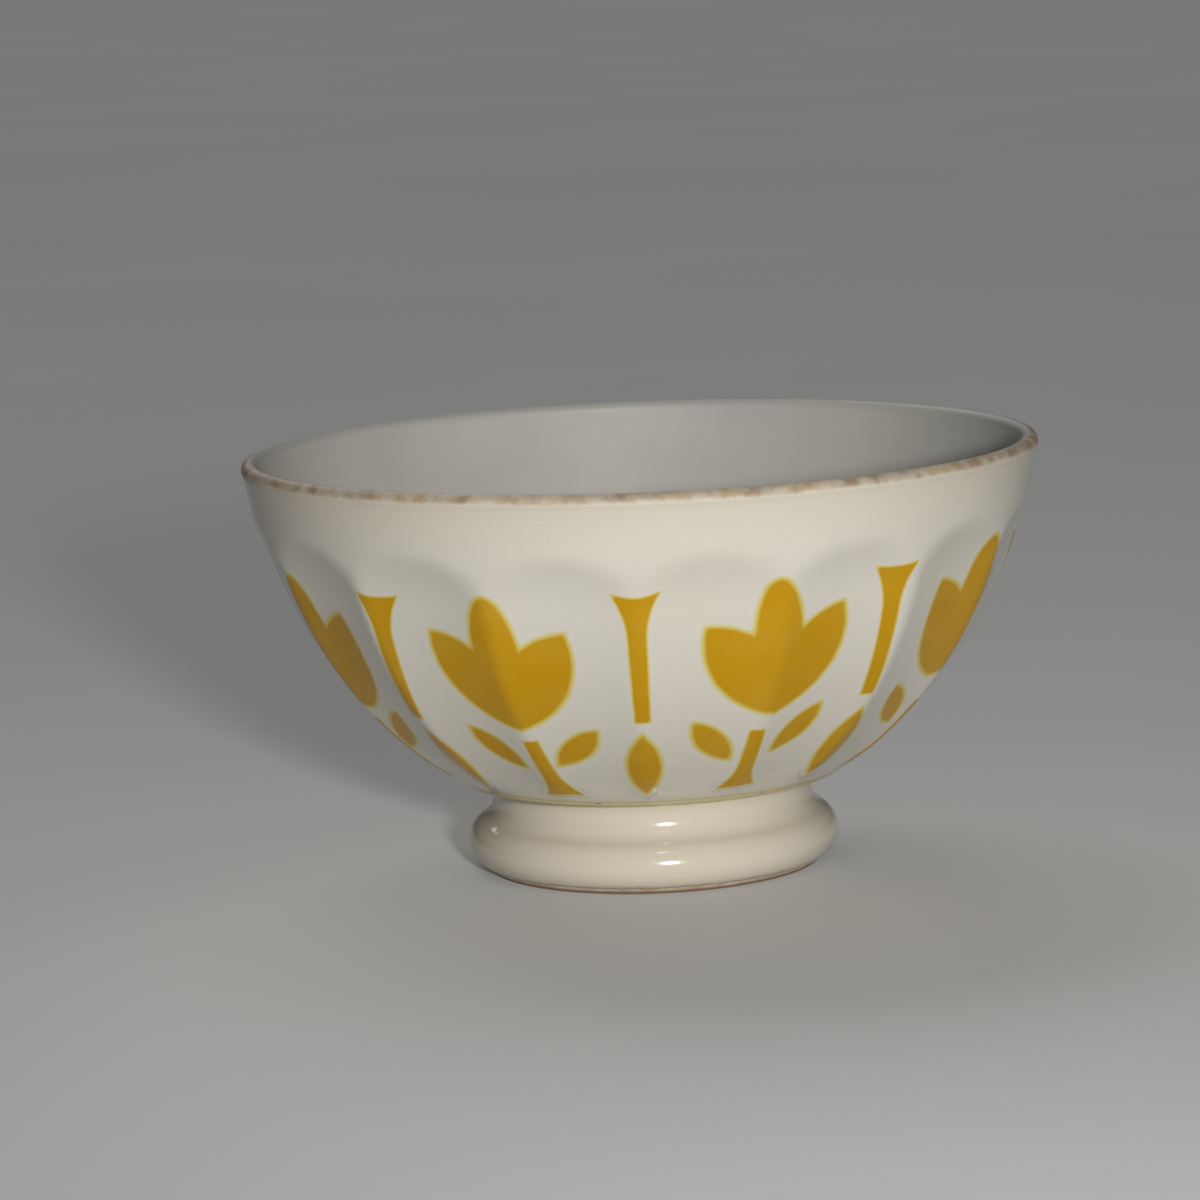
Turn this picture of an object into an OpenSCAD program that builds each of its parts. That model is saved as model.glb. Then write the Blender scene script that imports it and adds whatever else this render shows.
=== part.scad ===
// Footed, fluted breakfast bowl of glazed earthenware with a stencilled tulip border.
// Units are millimetres. The origin is the centre of the standing ring, +Z is up, -Y is the front.
// The bowl and its ring foot are separate castings, joined with slip and covered by coats of glaze.
// The stencilled colours are let into the outer coat, flush with its surface.

/* [Bowl] */
// Diameter over the rim
rim_d = 151; // [147:1:155]
// Height from the standing ring to the top of the rim
height = 80.5; // [79:0.5:82]
// Thickness of the rounded lip
lip_t = 3.2; // [2.8:0.1:3.6]
// How far the lip stands out from the curve of the wall
lip_proud = 0.6; // [0.4:0.1:0.8]
// Radius of the outer wall, seen from the side
wall_r = 80.2; // [79.4:0.2:81]
// Height of the centre of that radius above the rim
wall_rise = 5.2; // [4.8:0.2:5.6]
// Radius of the inner wall, seen from the side
inside_r = 89; // [88:0.5:90]
// Height of the centre of that radius above the rim
inside_rise = 14; // [13.5:0.5:14.5]
// Thickness of the floor of the bowl
floor_t = 3.5; // [3:0.25:4.5]
// Radius of the turn from the floor to the inner wall
floor_turn_r = 30; // [24:1:34]

/* [Flutes] */
// Number of flutes, which is also the number of ridges
flute_count = 16; // [14:2:18]
// How far the curve of a flute is set in from the curve of the wall
flute_inset = 1.7; // [1.6:0.05:1.85]
// How far the curve of a flute is set down from the curve of the wall
flute_drop = 0.5; // [0.4:0.05:0.55]
// Height at which a flute starts to run out into its arch
arch_z = 58.7; // [57.5:0.2:59.5]
// Radius of that run-out, seen from the side
arch_r = 40; // [34:1:46]

/* [Foot] */
// Diameter of the foot over its roll
foot_d = 71; // [70.4:0.2:71.6]
// Height of the ring foot, up to the slip
foot_h = 17.6; // [17.4:0.1:17.8]
// Radius of the roll around the foot
roll_r = 4.8; // [4.7:0.1:4.9]
// Height of the widest line of that roll
roll_z = 5.4; // [5.3:0.1:5.5]
// Diameter of the neck of the foot
neck_d = 61; // [60.4:0.2:61.6]
// Height of the narrowest line of that neck
neck_z = 13.8; // [13.6:0.1:14]
// Diameter of the recess inside the foot
recess_d = 50; // [46:1:52]
// Height of the seam, where the bowl sits on the slip
seam_z = 18.5; // [18.3:0.1:18.7]

/* [Glaze] */
// Thickness of every coat of glaze
glaze_t = 0.35; // [0.3:0.05:0.45]
// Height of the bare, worn band at the rim
bare_rim = 2.2; // [2:0.1:2.6]
// Height of the bare edge around the standing ring
bare_foot = 1.2; // [1.1:0.1:1.4]

/* [Stencil] */
// Height of the middle of a tulip
tulip_z = 47.4; // [46.5:0.1:48]
// Height of a tulip, from its base to the tip of its middle petal
tulip_h = 29.8; // [28:0.2:30.4]
// Width of a tulip over its side petals
tulip_w = 26.4; // [24:0.4:27.2]
// Height of the middle of a bar
bar_z = 48.5; // [47.5:0.5:49.5]
// Height of a bar
bar_h = 28.2; // [26:0.2:29]
// Width of the flared head of a bar
bar_head_w = 9; // [8:0.2:10]
// Height of the middle of a bud
bud_z = 26.6; // [26.4:0.1:27.4]
// Length of a bud
bud_l = 20; // [18:0.5:20.5]
// Width of a bud
bud_w = 6.2; // [5:0.2:7]
// Height of the middle of a stem
stem_z = 25.9; // [25.8:0.1:26.4]
// Height of a stem
stem_h = 19.4; // [17:0.2:19.8]
// Width of the flared foot of a stem
stem_foot_w = 7.4; // [6:0.2:8]
// Height of the middle of a leaf
leaf_z = 30.5; // [30:0.5:31.5]
// Length of a leaf
leaf_l = 13.5; // [12:0.5:15]
// Width of a leaf
leaf_w = 5.4; // [4.4:0.2:6]
// Distance of the middle of a leaf from its stem
leaf_reach = 8.2; // [7.6:0.2:8.8]

/* [Hidden] */

$fn = 192;
FRONT = -90;
// How far a cutting shape reaches past what it cuts
CUT = 1;
// Straight steps in a short arc, the outer wall, the inner wall, a flute and its run-out
ARC_STEPS = 16;
WALL_STEPS = 14;
INSIDE_STEPS = 40;
FLUTE_STEPS = 10;
ARCH_STEPS = 6;

rim_r = rim_d / 2;
lip_r = lip_t / 2;
lip_x = rim_r - lip_r;
lip_z = height - lip_r;
band_z = height - bare_rim;

wall_cz = height + wall_rise;
wall_cx = rim_r - lip_proud - sqrt(pow(wall_r, 2) - pow(wall_cz - lip_z, 2));
inside_cz = height + inside_rise;
inside_cx = rim_r - lip_t - sqrt(pow(inside_r, 2) - pow(inside_cz - lip_z, 2));

floor_z = seam_z + floor_t;
floor_turn_z = floor_z + floor_turn_r;
floor_turn_x = inside_cx + sqrt(pow(inside_r - floor_turn_r, 2) - pow(inside_cz - floor_turn_z, 2));
floor_turn_end = -acos((floor_turn_x - inside_cx) / (inside_r - floor_turn_r));

pitch = 360 / flute_count;
flute_cx = wall_cx - flute_inset;
flute_cz = wall_cz - flute_drop;
// Width and outward reach of the space that a flute takes, and how far it runs on under the bowl
flute_w = 36;
flute_reach = rim_r + 20;
flute_overrun = 3;
flute_foot = -asin((flute_cz - foot_h + flute_overrun) / wall_r);
arch_lean = -asin((flute_cz - arch_z) / wall_r);
arch_cx = flute_cx + (wall_r + arch_r) * cos(arch_lean);
arch_cz = flute_cz + (wall_r + arch_r) * sin(arch_lean);
arch_sweep = 20;

roll_x = foot_d / 2 - roll_r;
neck_r = neck_d / 2;
neck_dx = neck_r - roll_x;
neck_dz = neck_z - roll_z;
// Radius of the hollow that is tangent to the neck and to the roll
hollow_r = (pow(neck_dx, 2) + pow(neck_dz, 2) - pow(roll_r, 2)) / (2 * (roll_r - neck_dx));
hollow_x = neck_r + hollow_r;
hollow_lean = atan2(neck_dz, hollow_x - roll_x);
recess_r = recess_d / 2;
// How far the recess widens downwards, and the height of the rounding at its mouth
recess_flare = 1.6;
mouth_h = 1;
// Height at which the glaze in the recess ends
recess_glaze_z = 2;
// The flat of the standing ring reaches this far in from the roll's centre, and stops short of its bare edge
ring_land = 3;
ring_bevel = 1.2;

ridge_turns = [for (i = [0 : flute_count - 1]) FRONT + i * pitch];
bar_turns = [for (i = [0 : 2 : flute_count - 1]) ridge_turns[i]];
tulip_turns = [for (i = [1 : 2 : flute_count - 1]) ridge_turns[i]];

// The colours reach this far under and over the wall's own surface
stencil_under = 6;
stencil_over = 2;

// Width of a bar at its tail and under its head, and the height of that head
bar_tail_w = 2.7;
bar_neck_w = 3.6;
bar_head_h = 9;
// Width of a stem at its top and above its foot, and the height of that foot
stem_top_w = 2.8;
stem_neck_w = 3.2;
stem_foot_h = 9;
// How far the end of a flared strip is hollowed
strip_dip = 0.6;
// Lean of a leaf
leaf_tilt = 42;
// Lift of the tulip's middle petal above the base, and its half width as a share of the tulip's width
petal_lift = 2.6;
petal_share = 0.18;
// Height of a side petal's tip above the middle, as a share of the tulip's height
side_tip_share = 0.2;
// The inner edges of the two side petals would meet this far under the base
heel_drop = 1.5;
// Bulges of a side petal inwards and outwards, as shares of its length
side_in_share = 0.29;
side_out_share = 0.2;

// Points of an arc about (x, z), from angle a to angle b
function arc(x, z, r, a, b, steps = ARC_STEPS) = [
    for (i = [0 : steps])
        let (turn = a + (b - a) * i / steps)
            [x + r * cos(turn), z + r * sin(turn)]
];

// Radius of the wall's outer curve at height z
function wall_x(z) = wall_cx + sqrt(pow(wall_r, 2) - pow(wall_cz - z, 2));

// Radius of a circle that rises by h over a chord of length c
function sag_r(c, h) = (pow(c / 2, 2) + pow(h, 2)) / (2 * h);

// Radius of the roll of the foot at height z
function roll_at(z) = roll_x + sqrt(pow(roll_r, 2) - pow(roll_z - z, 2));

// Half section of the wall, filled to the axis, under a coat of thickness t
module wall_section(t, z0, z1) {
    low_lean = -asin((wall_cz - z0) / (wall_r - t));
    top_lean = -asin((wall_cz - z1) / (wall_r - t));
    polygon(concat(
        [[0, z1], [0, z0]],
        arc(wall_cx, wall_cz, wall_r - t, low_lean, top_lean, WALL_STEPS)
    ));
}

// Section of the space that a flute takes out of the wall, under a coat of thickness t
module flute_section(t) {
    polygon(concat(
        arc(flute_cx, flute_cz, wall_r - t, flute_foot, arch_lean, FLUTE_STEPS),
        arc(arch_cx, arch_cz, arch_r + t, 180 + arch_lean, 180 + arch_lean - arch_sweep, ARCH_STEPS),
        [[flute_reach, height], [flute_reach, 0]]
    ));
}

// One flute, straight across and hollow from top to bottom
module flute(turn, t) {
    rotate([90, 0, turn])
        linear_extrude(flute_w, center = true)
            flute_section(t);
}

// The wall with some of its flutes, filled to the axis
module fluted_wall(t, z0, z1, turns) {
    difference() {
        rotate_extrude() wall_section(t, z0, z1);
        for (turn = turns)
            flute(turn + pitch / 2, t);
    }
}

// Half section of the hollow of the bowl, up to height z1, grown by t
module hollow_section(t, z1) {
    top_lean = -asin((inside_cz - z1) / (inside_r + t));
    polygon(concat(
        [[0, z1], [0, floor_z - t]],
        arc(floor_turn_x, floor_turn_z, floor_turn_r + t, -90, floor_turn_end),
        arc(inside_cx, inside_cz, inside_r + t, floor_turn_end, top_lean, INSIDE_STEPS)
    ));
}

// Half section of the bare, rounded lip, with a root inside the wall
module lip_section() {
    root = lip_r / 2;
    low_turn = -asin((lip_z - band_z) / lip_r);
    polygon(concat(
        arc(lip_x, lip_z, lip_r, 180, low_turn),
        [
            [wall_x(band_z) - root, band_z],
            [wall_x(band_z) - root, band_z - root],
            [lip_x - lip_r + root, band_z - root],
            [lip_x - lip_r + root, lip_z]
        ]
    ));
}

// Outer edge of the foot from height z0 to its top, under a coat of thickness t
function foot_edge(z0, t) = concat(
    arc(roll_x, roll_z, roll_r - t, -asin((roll_z - z0) / (roll_r - t)), hollow_lean),
    arc(hollow_x, neck_z, hollow_r + t, 180 + hollow_lean, 180 + asin((neck_z - foot_h) / (hollow_r + t)))
);

// Half section of the foot from its bare edge up, filled to radius x, under a coat of thickness t
module foot_section(x, t) {
    polygon(concat([[x, bare_foot]], foot_edge(bare_foot, t), [[x, foot_h]]));
}

// Shape with two pointed ends at (0, 0) and (0, l), bulging by a to the left and b to the right
module leaf_shape(l, a, b) {
    intersection() {
        translate([sag_r(l, a) - a, l / 2]) circle(sag_r(l, a));
        translate([b - sag_r(l, b), l / 2]) circle(sag_r(l, b));
    }
}

// Upright strip from (0, 0) to (0, h), as wide as tail at its foot and as neck under its flared head
module flared_strip(h, tail, neck, head_w, head_h) {
    dip_r = 2 * head_w;
    flare_r = sag_r(2 * head_h, (head_w - neck) / 2);
    polygon([
        [-tail / 2, 0],
        [tail / 2, 0],
        [neck / 2, h - strip_dip],
        [-neck / 2, h - strip_dip]
    ]);
    difference() {
        translate([-head_w / 2, h - head_h]) square([head_w, head_h]);
        for (side = [-1, 1])
            translate([side * (neck / 2 + flare_r), h - head_h]) circle(flare_r);
        translate([0, h + dip_r - strip_dip]) circle(dip_r);
    }
}

// Disc whose edge passes through two points and bulges by h to the left of the way between them
module disc_through(from, to, h) {
    way = to - from;
    l = norm(way);
    r = sag_r(l, h);
    translate((from + to) / 2 + [-way[1], way[0]] * (h - r) / l) circle(r);
}

// Tulip of three petals about the middle of its height
module tulip_shape() {
    base_z = -tulip_h / 2;
    heel = [0, base_z];
    root = [0, base_z - heel_drop];
    tip = [tulip_w / 2, side_tip_share * tulip_h];
    side_l = norm(tip - heel);
    translate([0, base_z + petal_lift])
        leaf_shape(tulip_h - petal_lift, petal_share * tulip_w, petal_share * tulip_w);
    intersection() {
        disc_through(tip, heel, side_out_share * side_l);
        mirror([1, 0]) disc_through(tip, heel, side_out_share * side_l);
        for (side = [0, 1])
            mirror([side, 0]) disc_through(root, tip, side_in_share * side_l);
    }
}

// Bar about the middle of its height, head up
module bar_shape() {
    translate([0, -bar_h / 2])
        flared_strip(bar_h, bar_tail_w, bar_neck_w, bar_head_w, bar_head_h);
}

// Bud about the middle of its length
module bud_shape() {
    translate([0, -bud_l / 2])
        leaf_shape(bud_l, bud_w / 2, bud_w / 2);
}

// Stem about the middle of its height, flared foot down
module stem_shape() {
    translate([0, stem_h / 2])
        mirror([0, 1])
            flared_strip(stem_h, stem_top_w, stem_neck_w, stem_foot_w, stem_foot_h);
}

// The two leaves beside a stem
module leaf_pair_shape() {
    for (side = [-1, 1])
        translate([side * leaf_reach, 0])
            rotate(-side * leaf_tilt)
                translate([0, -leaf_l / 2])
                    leaf_shape(leaf_l, leaf_w / 2, leaf_w / 2);
}

// A flat shape pushed through the wall, square to its surface at height z
module through_wall(turn, z) {
    lean = asin((wall_cz - z) / wall_r);
    rotate([0, 0, turn])
        translate([wall_x(z), 0, z])
            rotate([0, lean, 0])
                rotate([90, 0, 90])
                    translate([0, 0, -stencil_under])
                        linear_extrude(stencil_under + stencil_over)
                            children();
}

// The part of the outer coat that a flat shape covers, between the two flutes beside a ridge
module stencilled(turn, z) {
    beside = [turn - pitch, turn];
    difference() {
        intersection() {
            through_wall(turn, z) children();
            rotate_extrude() wall_section(0, seam_z, band_z);
        }
        for (near = beside)
            flute(near + pitch / 2, 0);
        fluted_wall(glaze_t, seam_z - CUT, band_z + CUT, beside);
    }
}

module bowl_body() {
    color("Tan") {
        difference() {
            fluted_wall(glaze_t, seam_z, band_z, ridge_turns);
            rotate_extrude() hollow_section(glaze_t, lip_z);
        }
        rotate_extrude() lip_section();
    }
}

module foot_ring() {
    bare_x = roll_at(bare_foot);
    color("Wheat")
        rotate_extrude()
            polygon(concat(
                [
                    [recess_r, foot_h],
                    [recess_r + recess_flare, mouth_h],
                    [roll_x - ring_land, 0],
                    [bare_x - ring_bevel, 0],
                    [bare_x, bare_foot]
                ],
                foot_edge(bare_foot, glaze_t)
            ));
}

module luting_slip() {
    color("Khaki")
        difference() {
            fluted_wall(0, foot_h, seam_z, ridge_turns);
            cylinder(r = recess_r, h = seam_z + CUT);
        }
}

module inner_glaze() {
    color("Ivory")
        rotate_extrude()
            difference() {
                hollow_section(glaze_t, lip_z);
                hollow_section(0, height);
            }
}

module outer_glaze() {
    color("Ivory")
        difference() {
            fluted_wall(0, seam_z, band_z, ridge_turns);
            fluted_wall(glaze_t, seam_z - CUT, band_z + CUT, ridge_turns);
            for (turn = tulip_turns) {
                through_wall(turn, tulip_z) tulip_shape();
                through_wall(turn, stem_z) stem_shape();
                through_wall(turn, leaf_z) leaf_pair_shape();
            }
            for (turn = bar_turns) {
                through_wall(turn, bar_z) bar_shape();
                through_wall(turn, bud_z) bud_shape();
            }
        }
}

module foot_glaze() {
    color("AntiqueWhite")
        rotate_extrude()
            difference() {
                foot_section(recess_r, 0);
                foot_section(recess_r - CUT, glaze_t);
            }
}

module recess_glaze() {
    end_x = recess_r + recess_flare * (foot_h - recess_glaze_z) / (foot_h - mouth_h);
    color("AntiqueWhite")
        rotate_extrude()
            polygon([
                [0, seam_z],
                [recess_r, seam_z],
                [recess_r, foot_h],
                [end_x, recess_glaze_z],
                [end_x - glaze_t, recess_glaze_z],
                [recess_r - glaze_t, foot_h],
                [recess_r - glaze_t, seam_z - glaze_t],
                [0, seam_z - glaze_t]
            ]);
}

module tulip_colour() {
    color("DarkGoldenrod")
        for (turn = tulip_turns)
            stencilled(turn, tulip_z) tulip_shape();
}

module bar_colour() {
    color("DarkGoldenrod")
        for (turn = bar_turns)
            stencilled(turn, bar_z) bar_shape();
}

module bud_colour() {
    color("Goldenrod")
        for (turn = bar_turns)
            stencilled(turn, bud_z) bud_shape();
}

module stem_colour() {
    color("Goldenrod")
        for (turn = tulip_turns)
            stencilled(turn, stem_z) stem_shape();
}

module leaf_colour() {
    color("Goldenrod")
        for (turn = tulip_turns)
            stencilled(turn, leaf_z) leaf_pair_shape();
}

bowl_body();
foot_ring();
luting_slip();
inner_glaze();
outer_glaze();
foot_glaze();
recess_glaze();
tulip_colour();
bar_colour();
bud_colour();
stem_colour();
leaf_colour();
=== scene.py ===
import math

import bpy
import numpy as np
from mathutils import Matrix, Vector


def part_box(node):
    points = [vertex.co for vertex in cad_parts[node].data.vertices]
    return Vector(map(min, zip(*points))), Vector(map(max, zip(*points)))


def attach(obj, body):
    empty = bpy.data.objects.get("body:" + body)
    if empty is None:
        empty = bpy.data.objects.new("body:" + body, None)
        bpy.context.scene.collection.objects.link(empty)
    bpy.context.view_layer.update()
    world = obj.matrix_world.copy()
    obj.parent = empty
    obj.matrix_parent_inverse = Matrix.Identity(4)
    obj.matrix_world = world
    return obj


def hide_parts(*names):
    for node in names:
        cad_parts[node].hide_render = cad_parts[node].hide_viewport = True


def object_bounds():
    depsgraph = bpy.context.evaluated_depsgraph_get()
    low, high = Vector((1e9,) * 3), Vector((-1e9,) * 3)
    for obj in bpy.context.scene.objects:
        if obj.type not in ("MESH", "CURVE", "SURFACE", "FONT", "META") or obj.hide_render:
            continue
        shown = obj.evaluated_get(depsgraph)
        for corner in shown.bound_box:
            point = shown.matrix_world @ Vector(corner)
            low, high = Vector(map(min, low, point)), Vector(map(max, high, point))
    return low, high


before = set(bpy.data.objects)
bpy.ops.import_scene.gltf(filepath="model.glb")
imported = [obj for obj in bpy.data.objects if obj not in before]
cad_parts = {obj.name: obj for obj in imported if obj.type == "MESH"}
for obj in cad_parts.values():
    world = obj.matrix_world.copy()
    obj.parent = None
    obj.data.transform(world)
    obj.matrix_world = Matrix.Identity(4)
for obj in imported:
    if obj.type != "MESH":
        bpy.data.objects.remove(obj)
cad_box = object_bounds()

MM = 0.001

# Sizes that the frame gives
RIM_R = cad_box[1].x
HEIGHT = cad_box[1].z
BAND_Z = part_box("outer_glaze")[1].z
SEAM_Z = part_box("outer_glaze")[0].z
FOOT_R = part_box("foot_glaze")[1].x
FOOT_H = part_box("foot_glaze")[1].z
BARE_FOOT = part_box("foot_glaze")[0].z
RECESS_END_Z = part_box("recess_glaze")[0].z
RECESS_MOUTH_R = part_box("recess_glaze")[1].x
FLOOR_UNDER_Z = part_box("inner_glaze")[0].z

# Sizes of the bowl that the boxes of the nodes don't give
GLAZE_T = 0.35 * MM
LIP_R = 1.6 * MM
LIP_PROUD = 0.6 * MM
LIP_FLARE_H = 8 * MM
LIP_JOIN_H = 0.5 * MM
WALL_R, WALL_RISE = 80.2 * MM, 5.2 * MM
INSIDE_R, INSIDE_RISE = 89 * MM, 14 * MM
FLOOR_TURN_R = 30 * MM
RECESS_R = 25 * MM
AXIS_R = 0.02 * MM

WALL_CZ = HEIGHT + WALL_RISE
INSIDE_CZ = HEIGHT + INSIDE_RISE
LIP_X = RIM_R - LIP_R
LIP_Z = HEIGHT - LIP_R
LIP_START_X = LIP_X + math.sqrt(LIP_R**2 - (LIP_Z - BAND_Z) ** 2)
WALL_CX = RIM_R - LIP_PROUD - math.sqrt(WALL_R**2 - (WALL_CZ - LIP_Z) ** 2)
INSIDE_CX = RIM_R - 2 * LIP_R - math.sqrt(INSIDE_R**2 - (INSIDE_CZ - LIP_Z) ** 2)
FLOOR_Z = FLOOR_UNDER_Z + GLAZE_T
FLOOR_TURN_Z = FLOOR_Z + FLOOR_TURN_R
FLOOR_TURN_X = INSIDE_CX + math.sqrt((INSIDE_R - FLOOR_TURN_R) ** 2 - (INSIDE_CZ - FLOOR_TURN_Z) ** 2)
FLOOR_TURN_END = -math.acos((FLOOR_TURN_X - INSIDE_CX) / (INSIDE_R - FLOOR_TURN_R))

# Flutes
FLUTES = 16
PITCH = 2 * math.pi / FLUTES
FRONT = -math.pi / 2
FLUTE_INSET, FLUTE_DROP = 1.7 * MM, 0.5 * MM
FLUTE_CX = WALL_CX - FLUTE_INSET
FLUTE_CZ = WALL_CZ - FLUTE_DROP
FLUTE_DISH = 0.75 * MM
ARCH_Z = 58.7 * MM
ARCH_R = 40 * MM
ARCH_LEAN = -math.asin((FLUTE_CZ - ARCH_Z) / WALL_R)
ARCH_CX = FLUTE_CX + (WALL_R + ARCH_R) * math.cos(ARCH_LEAN)
ARCH_CZ = FLUTE_CZ + (WALL_R + ARCH_R) * math.sin(ARCH_LEAN)
RIDGE_SOFT = 0.8 * MM
ARCH_SOFT = 0.9 * MM
SEAM_FADE = 5 * MM

# Steps of the meshes
WALL_COLUMNS, WALL_ROWS = FLUTES * 40, 120
BODY_COLUMNS, BODY_ROWS = FLUTES * 24, 40
ROUND_COLUMNS = 320
INSIDE_STEPS, BODY_INSIDE_STEPS = 40, 20
LIP_STEPS, ROLL_STEPS, HOLLOW_STEPS = 28, 24, 16
SLIP_ROWS = 7
SHARP_ANGLE = math.radians(40)

# Foot
ROLL_R, ROLL_Z = 4.8 * MM, 5.4 * MM
ROLL_X = FOOT_R - ROLL_R
NECK_R, NECK_Z = 30.5 * MM, 13.8 * MM
RING_LAND = 3 * MM
RING_BEVEL = 1.2 * MM
RECESS_EDGE_W, RECESS_EDGE_Z = 0.3 * MM, 0.5 * MM
SLIP_BEAD = 0.08 * MM

# Where around the lip its wear is centred, from outwards to up
WEAR_TURN = math.radians(45)

# Stencilled motifs: middle height, then sizes
TULIP_Z, TULIP_H, TULIP_W = 47.4 * MM, 29.8 * MM, 26.4 * MM
BAR_Z, BAR_H, BAR_W = 48.5 * MM, 28.2 * MM, 9 * MM
BUD_Z, BUD_L, BUD_W = 26.6 * MM, 20 * MM, 6.2 * MM
STEM_Z, STEM_H, STEM_W = 25.9 * MM, 19.4 * MM, 7.4 * MM
LEAF_Z, LEAF_L, LEAF_W = 30.5 * MM, 13.5 * MM, 5.4 * MM
LEAF_REACH, LEAF_TILT = 8.2 * MM, 42
STRIP_DIP = 0.6 * MM
BAR_TAIL, BAR_NECK = 2.7 * MM, 3.6 * MM
STEM_TAIL, STEM_NECK = 2.8 * MM, 3.2 * MM
STRIP_FLARE_H = 9 * MM
PETAL_LIFT, PETAL_SOFT = 2.6 * MM, 0.6 * MM
MIDDLE_PETAL = 0.175
SIDE_TIP = 0.2
SIDE_BELLY, SIDE_BACK = 0.29, 0.2

# Fringe of the stencils: its width, and the share of it that broad and narrow motifs have
STENCIL_FRINGE = 1.3 * MM
BROAD, NARROW = 1, 0.5

RIDGES = [FRONT + i * PITCH for i in range(FLUTES)]
BAR_TURNS = RIDGES[0::2]
TULIP_TURNS = RIDGES[1::2]

# Motifs laid by hand, by their number: shift across and up in mm, and turn in degrees
BARS_BY_HAND = {0: (0.1, 0.3, 0.6), 1: (-3.2, 1.6, 7.2), 7: (1.3, -0.9, -9.4)}
TULIPS_BY_HAND = {0: (-0.1, 2.3, 7), 1: (-3.2, 3.6, -2), 6: (2.4, 0.3, 4), 7: (-0.1, 0.4, 0)}
STEMS_BY_HAND = {0: (-0.1, 0.9, 3), 7: (0.6, -0.2, 0)}
BUDS_BY_HAND = {0: (0, 0.4, 0), 1: (-0.5, 1.4, 0), 7: (-1.3, -0.8, 0)}
LEFT_LEAVES_BY_HAND = {0: (-8.2, 0, 41), 1: (-9.1, 2.3, 42), 7: (-7.6, -1.2, 38)}
RIGHT_LEAVES_BY_HAND = {0: (7.9, 1.8, -35), 6: (6.8, -0.2, -42), 7: (8.4, -0.7, -48)}

# Viewpoint of the photograph
CAMERA_AZIMUTH, CAMERA_ELEVATION, CAMERA_ROLL = math.radians(1.41), math.radians(9.4), math.radians(2.3)
CAMERA_DISTANCE = 850 * MM
CAMERA_TARGET_Z = 40 * MM
AIM_LEFT, AIM_UP = 8.57 * MM, 10.51 * MM
SENSOR_WIDTH, LENS = 36, 133.27
NEAR_CLIP = 10 * MM

# Stage: places in metres and strengths of the lamps, and the floor
KEY_PLACE, KEY_POWER = (0.165, -0.92, 0.22), 31
KEY_BEAM, KEY_BLEND, KEY_RADIUS = math.radians(40), 1.0, 40 * MM
BACK_PLACE, BACK_POWER, BACK_ANGLE = (-0.4, 1.2, 1.2), 0.8, math.radians(40)
SURROUND_POWER = 0.04
FLOOR_HALF = 20
FLOOR_DARK, FLOOR_PALE = (0.54, 0.54, 0.53, 1), (0.57, 0.57, 0.56, 1)
FLOOR_ROUGH, FLOOR_IOR, FLOOR_GLOW = 1.0, 1.05, 0.07

# Colours
CREAM = (0.60, 0.55, 0.45, 1)
WHITE = (0.625, 0.595, 0.52, 1)
# Inside glaze: a greyish white, darkened further as painted shade of the bowl's inside
GREY_WHITE_AND_SHADE = (0.42, 0.41, 0.37, 1)
FOOT_CREAM = (0.60, 0.54, 0.435, 1)
GOLD = (0.50, 0.265, 0.005, 1)
LEMON = (0.60, 0.50, 0.13, 1)
STAIN = (0.22, 0.135, 0.075, 1)
OCHRE = (0.40, 0.27, 0.13, 1)
BISCUIT = (0.46, 0.33, 0.24, 1)
SLIP = (0.60, 0.53, 0.27, 1)

# Gloss: least roughness of the coats, how it varies, roughness of bare clay and slip, refraction
GLOSSY, SATIN, WORN = 0.08, 0.5, 0.45
GLOSS_SIZE, GLOSS_SPREAD = 9 * MM, 0.1
BISCUIT_ROUGH, SLIP_ROUGH = 0.8, 0.3
GLASS_IOR, WALL_IOR, STENCIL_IOR, SATIN_IOR = 1.5, 1.34, 1.22, 1.4

# Patches of noise: their size and detail, and the noise at which they begin and are full
CLOUDS = (22 * MM, 4, 0.35, 0.75)
SPECKED_PATCHES = (6 * MM, 1, 0.6, 0.68)
WEAR_BREAKS = (4 * MM, 4, 0.35, 0.65)
WEAR_COLOURS = (6 * MM, 4, 0.3, 0.7)
GOLD_CLOUDS = (8 * MM, 4, 0.3, 0.8)
BARE_PATCHES = (3 * MM, 5, 0.35, 0.65)
SLIP_CRUMBS = (1.2 * MM, 4, 0.45, 0.7)
SLIP_SPOTS = (2.2 * MM, 3, 0.66, 0.72)
FLOOR_CLOUDS = (400 * MM, 3, 0.3, 0.7)

# Ragged borders: size of the noise, its reach, and its detail and roughness where they matter
WEAR_RAGGED = (1.5 * MM, 0.35, 5, 0.6)
WEAR_UNEVEN = (14 * MM, 0.4, 2)
SEAM_RAGGED = (4 * MM, 2 * MM, 4)
FOOT_RAGGED = (3 * MM, 1.4 * MM, 5)
STENCIL_RAGGED = (2.5 * MM, 0.35)

# Grain: size and detail of the noise, and depth of the bumps
GLAZE_PEEL = (4 * MM, 2, 0.02 * MM)
BARE_GRAIN = (0.6 * MM, 4, 0.08 * MM)
SLIP_GRAIN = (0.9 * MM, 3, 0.12 * MM)
FLOOR_GRAIN = (5 * MM, 3, 0.05 * MM)

# Craze lines and specks: size of their cells, and the share of a cell that they fill
CRAZE_SIZE, CRAZE_LINE = 3.2 * MM, 0.025
SPECK_SIZE, SPECK_CORE, SPECK_EDGE = 2.4 * MM, 0.05, 0.075

# Strength of each tint
CLOUDING, CRAZING, SPECKING, YELLOWING = 0.2, 0.03, 0.45, 0.7
HALO, GOLD_CLOUDING, FOOT_STAIN = 0.3, 0.1, 0.6
CRUMBLING, SPOTTING = 0.6, 0.8
WEAR_LEAST, WEAR_BROKEN = 0.4, 0.45

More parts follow.
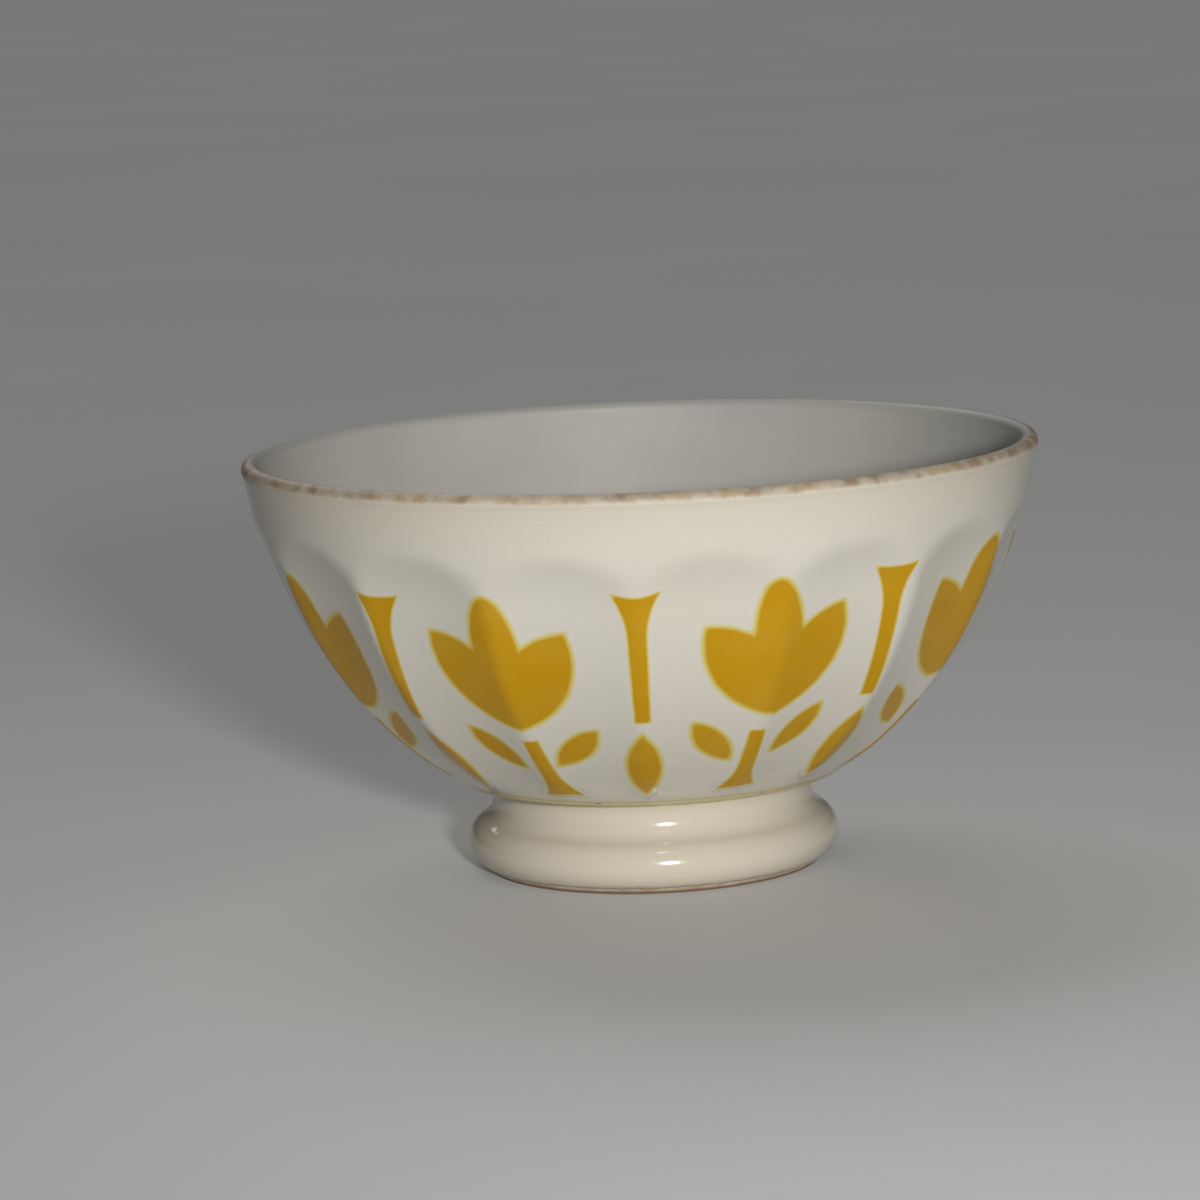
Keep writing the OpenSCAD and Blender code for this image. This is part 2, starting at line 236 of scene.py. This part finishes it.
# Where the tints come in: heights and distances from the edges they follow
CREAM_Z, CREAM_BLEND = 74 * MM, 7 * MM
HALO_H = 1.5 * MM
LIP_BLEND = 0.5 * MM
SEAM_YELLOW_H = 1.2 * MM
FOOT_YELLOW_FAR, FOOT_YELLOW_NEAR = 2 * MM, 0.8 * MM
FOOT_STAIN_ABOVE, FOOT_STAIN_BELOW = 0.8 * MM, 0.2 * MM
RING_STAIN_TOP, RING_STAIN_FULL = 0.9 * MM, 0.3 * MM
WEAR_FACING = (0.55, 0.95)

# Depths in mm inside a stencil's outline at which its fringe, then its gold, begins and is full
FRINGE_DEPTHS = (-0.95, -0.1)
GOLD_DEPTHS = (-0.25, 0.55)


def wall_radius(z):
    """Radius of the plain wall at height z."""
    return WALL_CX + np.sqrt(WALL_R**2 - (WALL_CZ - z) ** 2)


def flute_radius(z, away):
    """Radius of a flute's surface at height z, at an angle away from its middle."""
    low = FLUTE_CX + np.sqrt(WALL_R**2 - (FLUTE_CZ - z) ** 2)
    run_out = ARCH_CX - np.sqrt(np.maximum(ARCH_R**2 - (z - ARCH_CZ) ** 2, 0))
    middle = np.where(z < ARCH_Z, low, run_out)
    dish = FLUTE_DISH * (1 - (2 * away / PITCH) ** 2)
    return middle / np.cos(away) - dish


def smooth_min(a, b, soft):
    """The lower of a and b, rounded where they come within soft of each other."""
    near = np.clip(1 - np.abs(a - b) / soft, 0, 1)
    return np.minimum(a, b) - soft * near**2 / 4


def outer_radius(turn, z):
    """Radius of the glazed wall, whose flutes fade out at the seam and whose top flares to meet the lip."""
    place = (turn - FRONT) / PITCH - 0.5
    away = (place - np.round(place)) * PITCH
    beside = away - np.where(away > 0, PITCH, -PITCH)
    fluted = smooth_min(flute_radius(z, away), flute_radius(z, beside), RIDGE_SOFT)
    plain = FLUTE_CX + np.sqrt(WALL_R**2 - (FLUTE_CZ - z) ** 2)
    fluted = plain + (fluted - plain) * np.clip((z - SEAM_Z) / SEAM_FADE, 0, 1)
    flare = (LIP_START_X - wall_radius(BAND_Z)) * np.clip((z - BAND_Z) / LIP_FLARE_H + 1, 0, 1) ** 3
    return smooth_min(wall_radius(z), fluted, ARCH_SOFT) + flare


def arc(x, z, r, start, end, steps):
    """Points of an arc about (x, z), from one angle to another."""
    turns = np.linspace(start, end, steps + 1)
    return np.stack([x + r * np.cos(turns), z + r * np.sin(turns)], 1)


def make_piece(name, verts, faces, material):
    """A mesh object with smooth faces, riding on the root body and standing for the node of its name."""
    mesh = bpy.data.meshes.new(name)
    mesh.from_pydata(np.asarray(verts).tolist(), [], faces)
    mesh.validate()
    mesh.shade_smooth()
    mesh.set_sharp_from_angle(angle=SHARP_ANGLE)
    mesh.materials.append(material)
    piece = bpy.data.objects.new(name + "_finish", mesh)
    bpy.context.scene.collection.objects.link(piece)
    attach(piece, "root")
    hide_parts(name)
    return piece


def loop_faces(rows, columns):
    """Quads of a grid that closes on itself both ways."""
    faces = []
    for i in range(rows):
        low, high = i * columns, (i + 1) % rows * columns
        for j in range(columns):
            k = (j + 1) % columns
            faces.append((low + j, low + k, high + k, high + j))
    return faces


def revolve(name, profile, material, columns=ROUND_COLUMNS, radius=None):
    """A closed profile turned about the axis, counter-clockwise in the (r, z) plane."""
    profile = np.asarray(profile)
    turns = np.arange(columns) * 2 * math.pi / columns
    r = np.repeat(profile[:, :1], columns, 1)
    z = np.repeat(profile[:, 1:], columns, 1)
    if radius is not None:
        r = radius(r, z, turns[None, :])
    verts = np.stack([r * np.cos(turns), r * np.sin(turns), z], 2).reshape(-1, 3)
    return make_piece(name, verts, loop_faces(len(profile), columns), material)


class Shader:
    """A material under construction. Each method adds nodes and returns an output of the last one."""

    def __init__(self, name):
        self.material = bpy.data.materials.new(name)
        self.material.use_nodes = True
        self.tree = self.material.node_tree
        self.tree.nodes.clear()
        self.place = self.add("ShaderNodeTexCoord").outputs["Object"]

    def add(self, kind, inputs=None, **settings):
        node = self.tree.nodes.new(kind)
        for key, value in settings.items():
            setattr(node, key, value)
        for key, value in (inputs or {}).items():
            self.feed(node.inputs[key], value)
        return node

    def feed(self, socket, value):
        if isinstance(value, bpy.types.NodeSocket):
            self.tree.links.new(value, socket)
        else:
            socket.default_value = value

    def math(self, operation, a, b=0.0):
        return self.add("ShaderNodeMath", {0: a, 1: b}, operation=operation).outputs[0]

    def ramp(self, value, low, high):
        """0 at low and 1 at high, eased at both ends."""
        inputs = {"Value": value, "From Min": low, "From Max": high}
        node = self.add("ShaderNodeMapRange", inputs, interpolation_type="SMOOTHSTEP")
        return node.outputs["Result"]

    def noise(self, size, detail=3.0, rough=0.5):
        """Noise with patches about as large as size, in metres."""
        inputs = {"Vector": self.place, "Scale": 1 / size, "Detail": detail, "Roughness": rough}
        return self.add("ShaderNodeTexNoise", inputs).outputs["Fac"]

    def patches(self, size, detail, low, high):
        """Patches of noise, 0 where it is under low and 1 where it is over high."""
        return self.ramp(self.noise(size, detail), low, high)

    def wobble(self, size, reach, detail=3.0, rough=0.5):
        """Noise about zero, up to half of reach either way."""
        return self.math("MULTIPLY", self.math("SUBTRACT", self.noise(size, detail, rough), 0.5), reach)

    def cells(self, size, feature):
        inputs = {"Vector": self.place, "Scale": 1 / size}
        return self.add("ShaderNodeTexVoronoi", inputs, feature=feature).outputs["Distance"]

    def mix(self, share, a, b):
        node = self.add("ShaderNodeMix", data_type="RGBA")
        for key, value in zip((0, 6, 7), (share, a, b)):
            self.feed(node.inputs[key], value)
        return node.outputs[2]

    def tint(self, colour, other, share, strength):
        """A colour taken towards another by a share of at most that strength."""
        return self.mix(self.math("MULTIPLY", share, strength), colour, other)

    def height(self):
        return self.add("ShaderNodeSeparateXYZ", {"Vector": self.place}).outputs["Z"]

    def from_axis(self):
        flat = self.add("ShaderNodeVectorMath", {0: self.place, 1: (1, 1, 0)}, operation="MULTIPLY")
        length = self.add("ShaderNodeVectorMath", {0: flat.outputs[0]}, operation="LENGTH")
        return length.outputs["Value"]

    def attribute(self, name):
        return self.add("ShaderNodeAttribute", attribute_name=name).outputs["Fac"]

    def grain(self, size, detail, depth):
        inputs = {"Height": self.noise(size, detail), "Distance": depth, "Strength": 1.0}
        return self.add("ShaderNodeBump", inputs).outputs["Normal"]

    def finish(self, colour, roughness, normal, ior=GLASS_IOR, glow=0.0):
        inputs = {"Base Color": colour, "Roughness": roughness, "Normal": normal, "IOR": ior}
        inputs["Emission Strength"] = glow
        surface = self.add("ShaderNodeBsdfPrincipled", inputs).outputs["BSDF"]
        self.add("ShaderNodeOutputMaterial", {"Surface": surface})
        return self.material


def glaze_colour(shader, colour):
    """A glaze of that colour, clouded, with faint craze lines and a few specks."""
    colour = shader.tint(colour, CREAM, shader.patches(*CLOUDS), CLOUDING)
    craze = shader.cells(CRAZE_SIZE, "DISTANCE_TO_EDGE")
    line = shader.math("SUBTRACT", 1.0, shader.ramp(craze, 0.0, CRAZE_LINE))
    colour = shader.tint(colour, STAIN, line, CRAZING)
    away = shader.ramp(shader.cells(SPECK_SIZE, "F1"), SPECK_CORE, SPECK_EDGE)
    speck = shader.math("SUBTRACT", 1.0, away)
    rare = shader.patches(*SPECKED_PATCHES)
    return shader.tint(colour, STAIN, shader.math("MULTIPLY", speck, rare), SPECKING)


def glaze_surface(shader, colour, least_rough, ior):
    """Gloss of a fired glaze: a coat at least that rough, with a slight orange peel."""
    varied = shader.math("MULTIPLY", shader.noise(GLOSS_SIZE), GLOSS_SPREAD)
    roughness = shader.math("ADD", least_rough, varied)
    return shader.finish(colour, roughness, shader.grain(*GLAZE_PEEL), ior)


def worn_rim(shader, colour):
    """A broken brown line of wear along the outer shoulder of the lip."""
    out = shader.math("SUBTRACT", shader.from_axis(), LIP_X)
    up = shader.math("SUBTRACT", shader.height(), LIP_Z)
    out = shader.math("MULTIPLY", out, math.cos(WEAR_TURN) / LIP_R)
    up = shader.math("MULTIPLY", up, math.sin(WEAR_TURN) / LIP_R)
    ragged = shader.wobble(*WEAR_RAGGED)
    uneven = shader.wobble(*WEAR_UNEVEN)
    facing = shader.math("ADD", shader.math("ADD", out, up), shader.math("ADD", ragged, uneven))
    broken = shader.math("MULTIPLY", shader.patches(*WEAR_BREAKS), WEAR_BROKEN)
    strength = shader.math("ADD", broken, WEAR_LEAST)
    worn = shader.math("MULTIPLY", shader.ramp(facing, *WEAR_FACING), strength)
    brown = shader.mix(shader.patches(*WEAR_COLOURS), OCHRE, STAIN)
    return shader.mix(worn, colour, brown)


def yellowed(shader, colour, far, near):
    """Glaze stained unevenly by the slip from a height far from the seam to one near it."""
    ragged = shader.wobble(*SEAM_RAGGED)
    stain = shader.ramp(shader.math("ADD", shader.height(), ragged), far, near)
    return shader.tint(colour, SLIP, stain, YELLOWING)


def outer_glaze_material(name, stencil):
    """The coat of the wall, browned at the lip, yellowed at the seam and stencilled where asked."""
    shader = Shader(name)
    share = shader.ramp(shader.height(), CREAM_Z - CREAM_BLEND, CREAM_Z + CREAM_BLEND)
    colour = glaze_colour(shader, shader.mix(share, WHITE, CREAM))
    halo = shader.ramp(shader.height(), BAND_Z - HALO_H, HEIGHT)
    colour = shader.tint(colour, BISCUIT, halo, HALO)
    colour = yellowed(shader, colour, SEAM_Z + SEAM_YELLOW_H, SEAM_Z)
    if stencil:
        depth = shader.math("SUBTRACT", shader.wobble(*STENCIL_RAGGED), shader.attribute("edge"))
        gold = shader.tint(GOLD, LEMON, shader.patches(*GOLD_CLOUDS), GOLD_CLOUDING)
        colour = shader.mix(shader.ramp(depth, *FRINGE_DEPTHS), colour, LEMON)
        colour = shader.mix(shader.ramp(depth, *GOLD_DEPTHS), colour, gold)
    return glaze_surface(shader, colour, GLOSSY, STENCIL_IOR if stencil else WALL_IOR)


def lip_material():
    shader = Shader("worn_lip")
    outside = shader.ramp(shader.from_axis(), LIP_X - LIP_BLEND, LIP_X + LIP_BLEND)
    # The inner half of the lip takes the inside colour, which is partly painted shade
    colour = shader.mix(outside, GREY_WHITE_AND_SHADE, CREAM)
    return glaze_surface(shader, worn_rim(shader, colour), WORN, SATIN_IOR)


def inner_glaze_material():
    shader = Shader("inner_glaze")
    # The inside colour is darker than the outer white: partly a greyer glaze, partly painted shade
    return glaze_surface(shader, glaze_colour(shader, GREY_WHITE_AND_SHADE), SATIN, SATIN_IOR)


def foot_glaze_material():
    shader = Shader("foot_glaze")
    colour = glaze_colour(shader, FOOT_CREAM)
    ragged_z = shader.math("ADD", shader.height(), shader.wobble(*FOOT_RAGGED))
    low = shader.ramp(ragged_z, BARE_FOOT + FOOT_STAIN_ABOVE, BARE_FOOT - FOOT_STAIN_BELOW)
    colour = shader.tint(colour, STAIN, low, FOOT_STAIN)
    colour = yellowed(shader, colour, FOOT_H - FOOT_YELLOW_FAR, FOOT_H - FOOT_YELLOW_NEAR)
    return glaze_surface(shader, colour, GLOSSY, GLASS_IOR)


def biscuit_material():
    shader = Shader("bare_biscuit")
    colour = shader.mix(shader.patches(*BARE_PATCHES), FOOT_CREAM, BISCUIT)
    low = shader.ramp(shader.height(), RING_STAIN_TOP, RING_STAIN_FULL)
    colour = shader.mix(low, colour, STAIN)
    return shader.finish(colour, BISCUIT_ROUGH, shader.grain(*BARE_GRAIN))


def slip_material():
    shader = Shader("luting_slip")
    colour = shader.tint(SLIP, FOOT_CREAM, shader.patches(*SLIP_CRUMBS), CRUMBLING)
    colour = shader.tint(colour, STAIN, shader.patches(*SLIP_SPOTS), SPOTTING)
    return shader.finish(colour, SLIP_ROUGH, shader.grain(*SLIP_GRAIN))


def lens(u, v, length, left, right):
    """Signed distance to a shape with points at (0, 0) and (0, length) and those bulges to its sides."""
    out = np.full_like(u, -1.0)
    for side, bulge in ((-1, left), (1, right)):
        r = ((length / 2) ** 2 + bulge**2) / (2 * bulge)
        out = np.maximum(out, np.hypot(u - side * (bulge - r), v - length / 2) - r)
    return out


def oval(u, v, half_w, half_h):
    """Signed distance, nearly, to an ellipse."""
    size = np.hypot(u / half_w, v / half_h)
    return size * (size - 1) / np.maximum(np.hypot(u / half_w**2, v / half_h**2), 1)


def strip(u, v, length, tail, neck, head_w, head_h):
    """Signed distance to an upright strip from (0, 0) to (0, length) with a flared, hollowed head."""
    flare_w = (head_w - neck) / 2
    flare_r = (head_h**2 + flare_w**2) / (2 * flare_w)
    rise = np.clip(v - (length - head_h), 0, head_h)
    half = (tail + (neck - tail) * np.clip(v / length, 0, 1)) / 2
    half = np.minimum(half + flare_r - np.sqrt(flare_r**2 - rise**2), head_w / 2)
    top = v - length + STRIP_DIP * (1 - (2 * u / head_w) ** 2)
    return np.maximum(np.maximum(np.abs(u) - half, top), -v)


def turned(u, v, x, y, degrees):
    """Coordinates about (x, y), turned counter-clockwise."""
    c, s = math.cos(math.radians(degrees)), math.sin(math.radians(degrees))
    return c * (u - x) + s * (v - y), c * (v - y) - s * (u - x)


def tulip(u, v):
    """A rounded middle petal between two pointed ones that spring from the base."""
    base = -TULIP_H / 2
    tip = np.array([TULIP_W / 2, SIDE_TIP * TULIP_H - base])
    side_l = float(np.hypot(*tip))
    lean = -math.degrees(math.atan2(*tip))
    shape = oval(u, v - PETAL_LIFT / 2, MIDDLE_PETAL * TULIP_W, (TULIP_H - PETAL_LIFT) / 2)
    for side in (-1, 1):
        x, y = turned(side * u, v, 0, base, lean)
        petal = lens(x, y, side_l, SIDE_BELLY * side_l, SIDE_BACK * side_l)
        shape = smooth_min(shape, petal, PETAL_SOFT)
    return shape


def bar(u, v):
    return strip(u, v + BAR_H / 2, BAR_H, BAR_TAIL, BAR_NECK, BAR_W, STRIP_FLARE_H)


def bud(u, v):
    return lens(u, v + BUD_L / 2, BUD_L, BUD_W / 2, BUD_W / 2)


def stem(u, v):
    return strip(u, STEM_H / 2 - v, STEM_H, STEM_TAIL, STEM_NECK, STEM_W, STRIP_FLARE_H)


def leaf(u, v):
    return lens(u, v + LEAF_L / 2, LEAF_L, LEAF_W / 2, LEAF_W / 2)


def outline_distance(points, shape, z, places):
    """Signed distance of points on the wall to the nearest outline of a motif laid at those places."""
    lean = math.asin((WALL_CZ - z) / WALL_R)
    distance = np.full(len(points), HEIGHT)
    for turn, across, up, degrees in places:
        out = np.array([math.cos(turn), math.sin(turn), 0])
        along = np.array([-math.sin(turn), math.cos(turn), 0])
        rise = math.sin(lean) * out + np.array([0, 0, math.cos(lean)])
        offset = points - wall_radius(z) * out - np.array([0, 0, z])
        x, y = turned(offset @ along, offset @ rise, across * MM, up * MM, degrees)
        distance = np.where(points @ out > 0, np.minimum(distance, shape(x, y)), distance)
    return distance


def make_sheet(name, quads, face, back, material):
    """A closed sheet over some quads of a grid, between its face and its back. Returns it and its points."""
    used, quads = np.unique(quads, return_inverse=True)
    quads = quads.reshape(-1, 4)
    count = len(used)
    a = quads.ravel()
    b = np.roll(quads, -1, 1).ravel()
    border = ~np.isin(a * count + b, b * count + a)
    a, b = a[border], b[border]
    walls = np.stack([b, a, a + count, b + count], 1)
    faces = np.concatenate([quads, quads[:, ::-1] + count, walls])
    piece = make_piece(name, np.concatenate([face[used], back[used]]), faces.tolist(), material)
    return piece, used


def make_outside(motifs):
    """The outer coat and the stencilled colours let into it, parted along the lines of one grid."""
    low = -math.asin((WALL_CZ - SEAM_Z) / WALL_R)
    high = -math.asin((WALL_CZ - BAND_Z) / WALL_R)
    turns, z = np.meshgrid(
        np.arange(WALL_COLUMNS) * 2 * math.pi / WALL_COLUMNS,
        WALL_CZ + WALL_R * np.sin(np.linspace(low, high, WALL_ROWS)),
    )
    r = outer_radius(turns, z)
    flat = np.stack([np.cos(turns), np.sin(turns), 0 * z], 2).reshape(-1, 3)
    face = r.reshape(-1, 1) * flat + z.reshape(-1, 1) * np.array([0, 0, 1])
    back = face - GLAZE_T * flat
    index = np.arange(r.size).reshape(r.shape)
    beside = np.roll(index, -1, 1)
    quads = np.stack([index[:-1], beside[:-1], beside[1:], index[1:]], -1).reshape(-1, 4)
    edges = []
    for _, shape, middle_z, places, share in motifs:
        edges.append(outline_distance(face, shape, middle_z, places) / share)
    edges = np.array(edges)
    nearest = edges[:, quads].min(2)
    owner = np.where(nearest.min(0) < STENCIL_FRINGE, nearest.argmin(0), len(motifs))
    plain = outer_glaze_material("outer_glaze", False)
    stencilled = outer_glaze_material("stencilled_glaze", True)
    make_sheet("outer_glaze", quads[owner == len(motifs)], face, back, plain)
    for i, (name, *_) in enumerate(motifs):
        piece, used = make_sheet(name, quads[owner == i], face, back, stencilled)
        values = np.tile(edges.min(0)[used] / MM, 2)
        piece.data.attributes.new("edge", "FLOAT", "POINT").data.foreach_set("value", values)


def laid(turns, by_hand, usual=(0, 0, 0)):
    """Places of a motif on its ridges: shift across and up in mm and turn, some of them laid by hand."""
    return [(turn, *by_hand.get(i, usual)) for i, turn in enumerate(turns)]


def inside_profile(grow, steps):
    """Inner face of the bowl from the lip down to the axis, grown into the wall."""
    top = -math.asin((INSIDE_CZ - LIP_Z) / (INSIDE_R + grow))
    side = arc(INSIDE_CX, INSIDE_CZ, INSIDE_R + grow, top, FLOOR_TURN_END, 2 * steps)
    turn = arc(FLOOR_TURN_X, FLOOR_TURN_Z, FLOOR_TURN_R + grow, FLOOR_TURN_END, -math.pi / 2, steps)
    return np.concatenate([side, turn[1:], [[AXIS_R, FLOOR_Z - grow]]])


def make_bowl_body():
    """The casting under the coats, bare only at its rounded lip."""
    low = -math.asin((WALL_CZ - SEAM_Z) / WALL_R)
    high = -math.asin((WALL_CZ - (BAND_Z - LIP_JOIN_H)) / WALL_R)
    z = WALL_CZ + WALL_R * np.sin(np.linspace(low, high, BODY_ROWS))
    outside = np.stack([0 * z, z], 1)
    lip = arc(LIP_X, LIP_Z, LIP_R, -math.asin((LIP_Z - BAND_Z) / LIP_R), math.pi, LIP_STEPS)
    inside = inside_profile(GLAZE_T, BODY_INSIDE_STEPS)
    under = np.array([[AXIS_R, SEAM_Z]])
    profile = np.concatenate([outside, lip, inside, under])

    def radius(r, z, turns):
        return np.where(r > 0, r, outer_radius(turns, z) - GLAZE_T)

    revolve("bowl_body", profile, lip_material(), BODY_COLUMNS, radius)


def make_inner_glaze():
    face = inside_profile(0, INSIDE_STEPS)
    back = inside_profile(GLAZE_T, INSIDE_STEPS)
    revolve("inner_glaze", np.concatenate([back, face[::-1]])[::-1], inner_glaze_material())


def foot_edge(coat):
    """Outer edge of the foot from its bare edge to its top, under a coat of that thickness."""
    dx, dz = NECK_R - ROLL_X, NECK_Z - ROLL_Z
    hollow_r = (dx**2 + dz**2 - ROLL_R**2) / (2 * (ROLL_R - dx))
    hollow_x = NECK_R + hollow_r
    lean = math.atan2(dz, hollow_x - ROLL_X)
    low = -math.asin((ROLL_Z - BARE_FOOT) / (ROLL_R - coat))
    high = math.pi + math.asin((NECK_Z - FOOT_H) / (hollow_r + coat))
    roll = arc(ROLL_X, ROLL_Z, ROLL_R - coat, low, lean, ROLL_STEPS)
    hollow = arc(hollow_x, NECK_Z, hollow_r + coat, math.pi + lean, high, HOLLOW_STEPS)
    return np.concatenate([roll, hollow[1:]])


def make_foot():
    face = foot_edge(0)
    back = foot_edge(GLAZE_T)
    revolve("foot_glaze", np.concatenate([face, back[::-1]]), foot_glaze_material())
    bare_x = face[0][0]
    base = np.array(
        [
            [RECESS_R, FOOT_H],
            [RECESS_MOUTH_R, RECESS_END_Z],
            [RECESS_MOUTH_R + RECESS_EDGE_W, RECESS_EDGE_Z],
            [ROLL_X - RING_LAND, 0],
            [bare_x - RING_BEVEL, 0],
            [bare_x, BARE_FOOT],
        ]
    )
    revolve("foot_ring", np.concatenate([base, back]), biscuit_material())
    recess = np.array(
        [
            [AXIS_R, SEAM_Z],
            [AXIS_R, SEAM_Z - GLAZE_T],
            [RECESS_R - GLAZE_T, SEAM_Z - GLAZE_T],
            [RECESS_R - GLAZE_T, FOOT_H],
            [RECESS_MOUTH_R - GLAZE_T, RECESS_END_Z],
            [RECESS_MOUTH_R, RECESS_END_Z],
            [RECESS_R, FOOT_H],
            [RECESS_R, SEAM_Z],
        ]
    )
    revolve("recess_glaze", recess, foot_glaze_material())


def make_slip():
    """The layer of slip between the foot and the bowl, its outer edge a little proud of the wall."""
    z = np.linspace(FOOT_H, SEAM_Z, SLIP_ROWS)
    edge = np.stack([0 * z, z], 1)
    profile = np.concatenate([edge, [[RECESS_R, SEAM_Z], [RECESS_R, FOOT_H]]])

    def radius(r, z, turns):
        bead = SLIP_BEAD * np.sin(math.pi * (z - FOOT_H) / (SEAM_Z - FOOT_H))
        return np.where(r > 0, r, outer_radius(turns, z) + bead)

    revolve("luting_slip", profile, slip_material(), BODY_COLUMNS, radius)


def make_camera():
    """A long lens a little above the rim, rolled as the photograph is."""
    level = math.cos(CAMERA_ELEVATION)
    back = Vector(
        (
            math.sin(CAMERA_AZIMUTH) * level,
            -math.cos(CAMERA_AZIMUTH) * level,
            math.sin(CAMERA_ELEVATION),
        )
    )
    right = Vector((math.cos(CAMERA_AZIMUTH), math.sin(CAMERA_AZIMUTH), 0))
    up = back.cross(right)
    target = Vector((0, 0, CAMERA_TARGET_Z))
    place = target + CAMERA_DISTANCE * back
    aim = target - AIM_LEFT * right + AIM_UP * up
    back = (place - aim).normalized()
    right = Vector((0, 0, 1)).cross(back).normalized()
    up = back.cross(right)
    across = math.cos(CAMERA_ROLL) * right - math.sin(CAMERA_ROLL) * up
    upward = math.sin(CAMERA_ROLL) * right + math.cos(CAMERA_ROLL) * up
    data = bpy.data.cameras.new("camera")
    data.sensor_width = SENSOR_WIDTH
    data.lens = LENS
    data.clip_start = NEAR_CLIP
    camera = bpy.data.objects.new("camera", data)
    camera.matrix_world = Matrix.Translation(place) @ Matrix((across, upward, back)).transposed().to_4x4()
    bpy.context.scene.collection.objects.link(camera)
    bpy.context.scene.camera = camera


def add_light(name, kind, place, energy, **settings):
    """A lamp at a place, turned to the middle of the bowl."""
    lamp = bpy.data.lights.new(name, kind)
    lamp.energy = energy
    for key, value in settings.items():
        setattr(lamp, key, value)
    light = bpy.data.objects.new(name, lamp)
    light.location = place
    light.rotation_euler = (Vector((0, 0, HEIGHT / 2)) - light.location).to_track_quat("-Z", "Y").to_euler()
    bpy.context.scene.collection.objects.link(light)


def make_stage():
    """A pale floor, a key lamp beside the camera, a soft light from behind and a dim, even surround."""
    mesh = bpy.data.meshes.new("floor")
    corners = [(x * FLOOR_HALF, y * FLOOR_HALF, 0) for x, y in ((-1, -1), (1, -1), (1, 1), (-1, 1))]
    mesh.from_pydata(corners, [], [(0, 1, 2, 3)])
    shader = Shader("floor")
    colour = shader.mix(shader.patches(*FLOOR_CLOUDS), FLOOR_DARK, FLOOR_PALE)
    path = shader.add("ShaderNodeLightPath").outputs
    seen = shader.math("MAXIMUM", path["Is Glossy Ray"], path["Is Transmission Ray"])
    seen = shader.math("MAXIMUM", path["Is Camera Ray"], seen)
    glow = shader.math("MULTIPLY", seen, FLOOR_GLOW)
    normal = shader.grain(*FLOOR_GRAIN)
    mesh.materials.append(shader.finish(colour, FLOOR_ROUGH, normal, FLOOR_IOR, glow))
    floor = bpy.data.objects.new("floor", mesh)
    bpy.context.scene.collection.objects.link(floor)
    beam = {"spot_size": KEY_BEAM, "spot_blend": KEY_BLEND, "shadow_soft_size": KEY_RADIUS}
    add_light("key", "SPOT", KEY_PLACE, KEY_POWER, **beam)
    add_light("back", "SUN", BACK_PLACE, BACK_POWER, angle=BACK_ANGLE)
    world = bpy.data.worlds.new("surround")
    world.use_nodes = True
    background = world.node_tree.nodes["Background"]
    background.inputs["Color"].default_value = (1, 1, 1, 1)
    background.inputs["Strength"].default_value = SURROUND_POWER
    bpy.context.scene.world = world


make_camera()
make_stage()
make_bowl_body()
make_inner_glaze()
make_foot()
make_slip()
bars = laid(BAR_TURNS, BARS_BY_HAND)
tulips = laid(TULIP_TURNS, TULIPS_BY_HAND)
stems = laid(TULIP_TURNS, STEMS_BY_HAND)
buds = laid(BAR_TURNS, BUDS_BY_HAND)
leaves = laid(TULIP_TURNS, LEFT_LEAVES_BY_HAND, (-LEAF_REACH / MM, 0, LEAF_TILT))
leaves += laid(TULIP_TURNS, RIGHT_LEAVES_BY_HAND, (LEAF_REACH / MM, 0, -LEAF_TILT))
make_outside(
    [
        ("tulip_colour", tulip, TULIP_Z, tulips, BROAD),
        ("bar_colour", bar, BAR_Z, bars, NARROW),
        ("bud_colour", bud, BUD_Z, buds, BROAD),
        ("stem_colour", stem, STEM_Z, stems, NARROW),
        ("leaf_colour", leaf, LEAF_Z, leaves, BROAD),
    ]
)

bpy.context.scene.view_settings.view_transform = "Standard"
